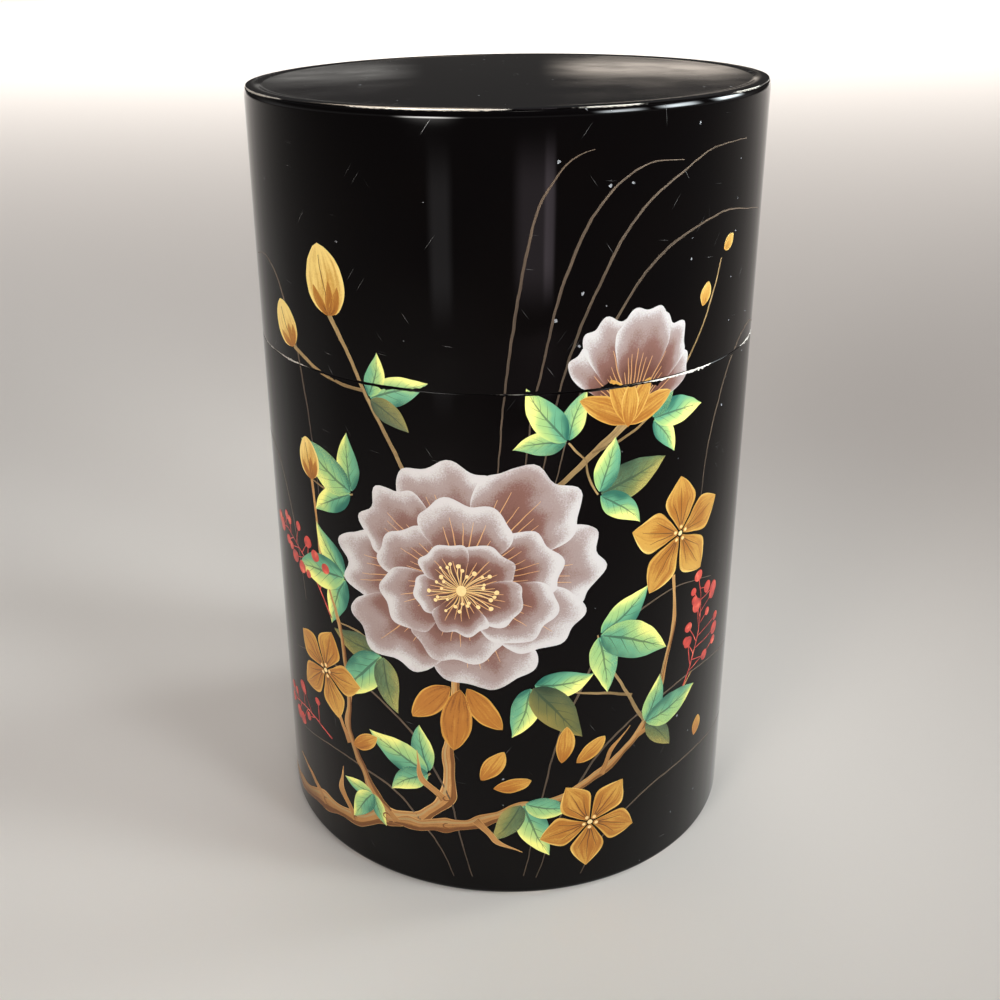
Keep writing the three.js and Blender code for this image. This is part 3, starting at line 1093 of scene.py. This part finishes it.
small_leaves = (  # and falling petals: root, heading, length, width, tone
    ((-6.5, 37.5), 262, 11, 4.9, 0.22), ((-5.5, 37.8), 305, 8.5, 3.9, 0.25),
    ((-8.0, 37.8), 222, 8.5, 3.9, 0.25), ((8.5, 24.5), 80, 6.5, 3.0, 0.4), ((11, 24), 38, 6, 2.8, 0.45),
    ((-3.5, 22), 55, 6.2, 2.9, 0.35), ((-1.5, 20.5), 10, 5.4, 2.5, 0.4), ((-25.5, 22.5), 30, 6, 2.8, 0.4),
    ((29.5, 92), 70, 3.4, 2.2, 0.6), ((33.5, 99), 30, 3.0, 1.9, 0.6), ((35, 20), 70, 3.6, 2.4, 0.4),
)
for root, heading, length, width, tone in small_leaves:
    half = pointed(width, 0.8, 0.8)
    lay(golds, bent(root, heading, length, half, 12, rows=18), 3, tone)
finish_paint("gold_paint", golds, gold)
finish_paint("brown_line_paint", brushed(petal_lines, 0.3), brown_line)


# Branch and stems
# A gnarled branch with its limbs and spurs, and the thin stems of flowers, buds and leaves, in
# duller gold. The bark's lines are drawn on after, as are the fine veins of the blooms.
def gnarled(line):
    """A limb that swells at its bends, and thins and strays between them."""
    points = [line[0]]
    for (s, z, half), (end_s, end_z, end_half) in zip(line, line[1:]):
        run = (end_s - s, end_z - z)
        span = math.hypot(*run)
        for t in (0.3, 0.7):
            stray = draw.uniform(-0.45, 0.45) * min(half, 1.0) / span
            thin = (half + (end_half - half) * t) * draw.uniform(0.70, 0.95)
            points.append((s + run[0] * t - run[1] * stray, z + run[1] * t + run[0] * stray, thin))
        points.append((end_s, end_z, end_half * draw.uniform(1.1, 1.5)))
    return [*points[:-1], line[-1]]


def beside(line, side, thick):
    """A stroke along one side of a limb, both given in shares of its half width."""
    points = []
    for before, (s, z, half), after in zip([line[0], *line], line, [*line[1:], line[-1]]):
        run = (after[0] - before[0], after[1] - before[1])
        off = side * half / math.hypot(*run)
        points.append((s + run[1] * off, z - run[0] * off, thick * half))
    return points


branch = (  # the trunk, its limbs and its spurs, as (s, height, half width) points in mm
    ((-54, 3.2, 0.3), (-44, 4.5, 1.0), (-34, 7, 1.6), (-26, 7.6, 1.1), (-19, 11.5, 1.7), (-13, 13, 1.1),
     (-9, 18, 1.3), (-8.5, 25, 0.8), (-7.5, 33, 0.8), (-7, 42, 0.6)),
    ((-21, 10.2, 0.4), (-15, 11.8, 1.1), (-9, 12.6, 1.3), (-4, 14, 1.0), (2, 17, 0.8), (9, 18, 0.8),
     (16, 22, 0.6), (22, 27, 0.6), (26, 34, 0.4), (27.5, 44, 0.35), (27, 52, 0.3)),
    ((-17.5, 11, 0.8), (-22, 15, 0.9), (-24.5, 20, 0.6), (-27, 26, 0.5), (-25.5, 34, 0.4),
     (-27.5, 44, 0.35), (-31, 54, 0.25), (-31.5, 66, 0.3)),
    ((-26.4, 22.5, 0.6), (-29, 27, 0.4), (-31, 32, 0.3)),
    ((21, 26, 0.5), (28, 28.5, 0.35), (33, 33, 0.05)),
    ((-26, 7.5, 0.7), (-29.5, 12, 0.6), (-28.5, 17, 0.05)),
    ((-34, 6.5, 0.9), (-38.5, 9.5, 0.5), (-43.5, 11, 0.05)),
    ((-9.5, 17.5, 0.7), (-13, 20.5, 0.5), (-13.5, 25.5, 0.05)),
    ((-4.5, 14.2, 0.7), (-1.5, 10.5, 0.4), (2.5, 8.5, 0.05)),
    ((15, 21.2, 0.5), (16.5, 25, 0.35), (20, 28.5, 0.05)),
)
limb_step = 0.3  # from the level of one limb to the next one's
knot_level = 3.2
thick_limb = 0.42  # the half width from which a limb shows its bark
limbs = []
bark = []
shine = []
for k, line in enumerate(branch):
    limb_line = gnarled(line)
    limbs.append((limb_line, limb_step * k))
    thick = [point for point in limb_line[1:] if point[2] > thick_limb]
    if len(thick) > 4:
        bark.append((beside(thick, 0.66, 0.30), limb_step * (k + 0.5)))
        shine.append((beside(thick, -0.45, 0.16), limb_step * (k + 0.5)))
knot_widths = (0.03, 0.12, 0.15, 0.12, 0.03)
for s, z, reach, first in (  # a knot's place, its radius and where its line starts
    (-34, 7, 0.9, 60), (-19.4, 11.4, 1.0, 20), (-9.2, 17.8, 0.8, 100), (-9, 12.7, 0.75, 60),
    (-26, 7.9, 0.6, 20),
):
    knot = [polar(first + 62 * i, reach * (0.75 + 0.05 * i), (s, z), 0.8) for i in range(5)]
    bark.append(([(*point, half) for point, half in zip(knot, knot_widths)], knot_level))
limb_gold = gold_paint(
    "limb_gold", (0.05, (0.12, 0.045, 0.010)), (0.5, (0.40, 0.19, 0.055)), (0.95, (0.72, 0.46, 0.18)),
)
finish_paint("limb_paint", brushed(limbs, tag=0.45), limb_gold)
finish_paint("bark_paint", brushed(bark, 0.35), brown_line)

stems = [
    (((-14, 71, 0.30), (-18, 79, 0.26), (-22, 86, 0.22), (-25.4, 91.6, 0.42)), 0),
    (((-20, 82, 0.26), (-27, 82, 0.18), (-34.3, 85.6, 0.34)), 0.2),
    (((6, 69, 0.40), (11, 73, 0.36), (16.9, 78.4, 0.70)), 0),
    (((12, 74.3, 0.22), (20, 76, 0.2), (30, 84, 0.15), (33, 98, 0.12)), 0.2),
    (((23, 27.6, 0.34), (20.5, 33, 0.26), (15.5, 39, 0.22), (13.5, 46, 0.1)), 0.4),
    (((19.8, 34.2, 0.24), (13, 36.6, 0.18), (5, 38, 0.06)), 0.2),
]
joints = [point[:2] for line in branch for point in line]  # where a leaf's stalk may start
for stem, _ in stems:
    for before, (s, z, _), after in zip(stem, stem[1:], stem[2:]):
        joints.append(((before[0] + 4 * s + after[0]) / 6, (before[1] + 4 * z + after[1]) / 6))
    joints.append(stem[-1][:2])
stalk_level = 0.4
for root, heading, _ in leaf_list:
    nearest = min(joints, key=lambda point: math.dist(point, root))
    distance = math.dist(nearest, root)
    if distance > 1.2:
        halfway = (0.5 * (nearest[0] + root[0]), 0.5 * (nearest[1] + root[1]))
        bow = polar(heading + 180, 0.3 * max(0.0, distance - 2.5), halfway)
        stems.append((((*nearest, 0.10), (*bow, 0.22), (*root, 0.12)), stalk_level))
stem_gold = gold_paint("stem_gold", (0.1, (0.10, 0.055, 0.018)), (0.9, (0.42, 0.28, 0.12)))
vein_gold = gold_paint("vein_gold", (0.1, (0.30, 0.13, 0.045)), (0.9, (0.62, 0.36, 0.16)))
finish_paint("stem_paint", brushed(stems), stem_gold)
finish_paint("vein_paint", brushed(veins, 0.4), vein_gold)
finish_paint("shine_paint", brushed(shine, 0.35, 0.7), stem_gold)

# Grasses
# Long blades behind the flowers, each one stroke of a pointed brush in thin brown gold.
# They bend over at the tip, and half of them cross the joint.
grasses = []
for s0, z0, reach, rise, droop in (  # the root, how far it reaches round and up, and its droop
    (3, 4, 34, 44, 0.30), (5, 3.5, 44, 27, 0.45), (-5, 3.5, -36, 30, 0.40), (-8, 3, -34, 15, 0.5),
    (4, 66, 34, 47, 0.10), (6, 67, 41, 35, 0.35), (-1, 66, 12, 48, 0.05), (2, 66, 22, 46, 0.12),
    (-30, 64, -18, 32, 0.25), (12, 3, 38, 13, 0.5), (-36, 44, -20, 22, 0.4), (31, 58, 22, 26, 0.4),
):
    line = []
    for k in range(8):
        t = k / 7
        half = 0.04 + 0.15 * math.sin(math.pi * min(1.0, 0.10 + 0.90 * t)) ** 1.5
        up = (1 + droop) * (1 - (1 - t) ** 2) - droop * t * t
        line.append((s0 + reach * (0.35 * t + 0.65 * t * t), z0 + rise * up, half))
    grasses.append((line, 0))
grass_gold = gold_paint("grass_gold", (0.1, (0.030, 0.020, 0.014)), (0.9, (0.13, 0.088, 0.055)))
finish_paint("grass_paint", brushed(grasses), grass_gold)

# Stamens and berries
# The last touches: fine pale lines with a dot of gold on each, and red berries on red stalks.
# Each dot and each berry is one touch of the tip of a loaded brush.
dots, given, result = new_group(
    "brush_dots", "Geometry", {"Geometry": "Geometry", "Sides": "Int"}, {"Geometry": "Geometry"},
)
touch = put(dots, "GeometryNodeMeshCircle", {
    "Vertices": given["Sides"], "Radius": 1.0,
}, fill_type="TRIANGLE_FAN")
dotted = put(dots, "GeometryNodeInstanceOnPoints", {
    "Points": given["Geometry"], "Instance": touch.outputs[0],
    "Scale": put(dots, "GeometryNodeInputNamedAttribute", {"Name": "size"}).outputs[0],
})
whole = put(dots, "GeometryNodeRealizeInstances", {0: dotted.outputs[0]})
dots.links.new(whole.outputs[0], result[0])


def touched(points, level, tag=0.5, sides=14):
    """A sheet of round touches of the brush at (s, height, radius) points in mm."""
    data = bpy.data.meshes.new("touches")
    data.from_pydata([(s * mm, z * mm, (level + 1) * layer) for s, z, _ in points], [], [])
    sizes = data.attributes.new("size", "FLOAT", "POINT")
    sizes.data.foreach_set("value", [r * mm for _, _, r in points])
    mesh = new_paint(grown("touches", data, dots, {"Sides": sides}))
    spot = mesh.verts.layers.float_vector["spot"]
    for vert in mesh.verts:
        vert[spot] = (0.5, 0.5, tag)
    return mesh


stamens = []
anthers = []
heart = (bloom_centre[0], bloom_centre[1] - 2.0)
heart_tilt = 0.8
stamen_level = 7.7
for k in range(30):
    heading = 360 * k / 30 + draw.uniform(-5, 5)
    reach = draw.uniform(2.4, 5.2)
    foot = polar(heading, 0.6, heart, heart_tilt)
    middle = polar(heading + 14, 0.55 * reach, heart, heart_tilt)
    tip = polar(heading, reach, heart, heart_tilt)
    stamens.append(([(*foot, 0.04), (*middle, 0.07), (*tip, 0.05)], stamen_level))
    anthers.append((*tip, draw.uniform(0.20, 0.34)))
anthers.append((*heart, 0.75))
pale_gold = gold_paint("pale_gold", (0.1, (0.50, 0.28, 0.08)), (0.9, (0.86, 0.66, 0.32)))
finish_paint("stamen_paint", brushed(stamens, 0.3), pale_gold)
finish_paint("anther_paint", touched(anthers, stamen_level + 0.2, 0.7), pale_gold)
for k, (centre, size, _) in enumerate(bellflowers):
    tips = [polar(18 + 72 * i + 31 * k, 0.13 * size, centre) for i in range(5)]
    pollen = [(*tip, 0.28) for tip in tips] + [(*centre, 0.4)]
    finish_paint(f"bell_heart_{k + 1}", touched(pollen, 4, 0.8), pale_gold)

red, tree, shader = surface("berry_red", Specular_IOR_Level=0.5)
cloud = mottle(place_of(tree), 700)
skin = ramp(cloud, (0.3, (0.22, 0.010, 0.008)), (0.55, (0.46, 0.040, 0.026)), (0.75, (0.64, 0.15, 0.09)))
feed(shader, Base_Color=skin, Roughness=eased(cloud, 0.3, 0.7, 0.28, 0.4))
relief(shader, cloud, 0.01 * mm, 0.5)
berries = []
stalks = []
for root, heading, reach, count, wide in (  # a spray's root, heading, length, berries and breadth
    ((-29, 44), 128, 19, 14, 1), ((30, 30), 62, 18, 15, 1.5), ((-31, 21), 165, 15, 9, 1),
):
    spine = [polar(heading + 26 * (k / 7 - 0.4), reach * k / 7, root) for k in range(8)]
    stalks.append(([(*point, 0.16 - 0.014 * k) for k, point in enumerate(spine)], 1))
    for k in range(count):
        t = 0.20 + 0.80 * (k + 0.5) / count
        base = polar(heading + 26 * (t - 0.4), reach * t, root)
        side_heading = heading + (1 if k % 2 else -1) * draw.uniform(28, 80)
        end = polar(side_heading, wide * (5.6 - 3.6 * t) * draw.uniform(0.5, 1.2), base)
        stalks.append(([(*base, 0.09), (*end, 0.07)], 1))
        berries.append((*end, draw.uniform(0.65, 1.15)))
finish_paint("stalk_paint", brushed(stalks, 0.3), red)
finish_paint("berry_paint", touched(berries, 3, sides=20), red)
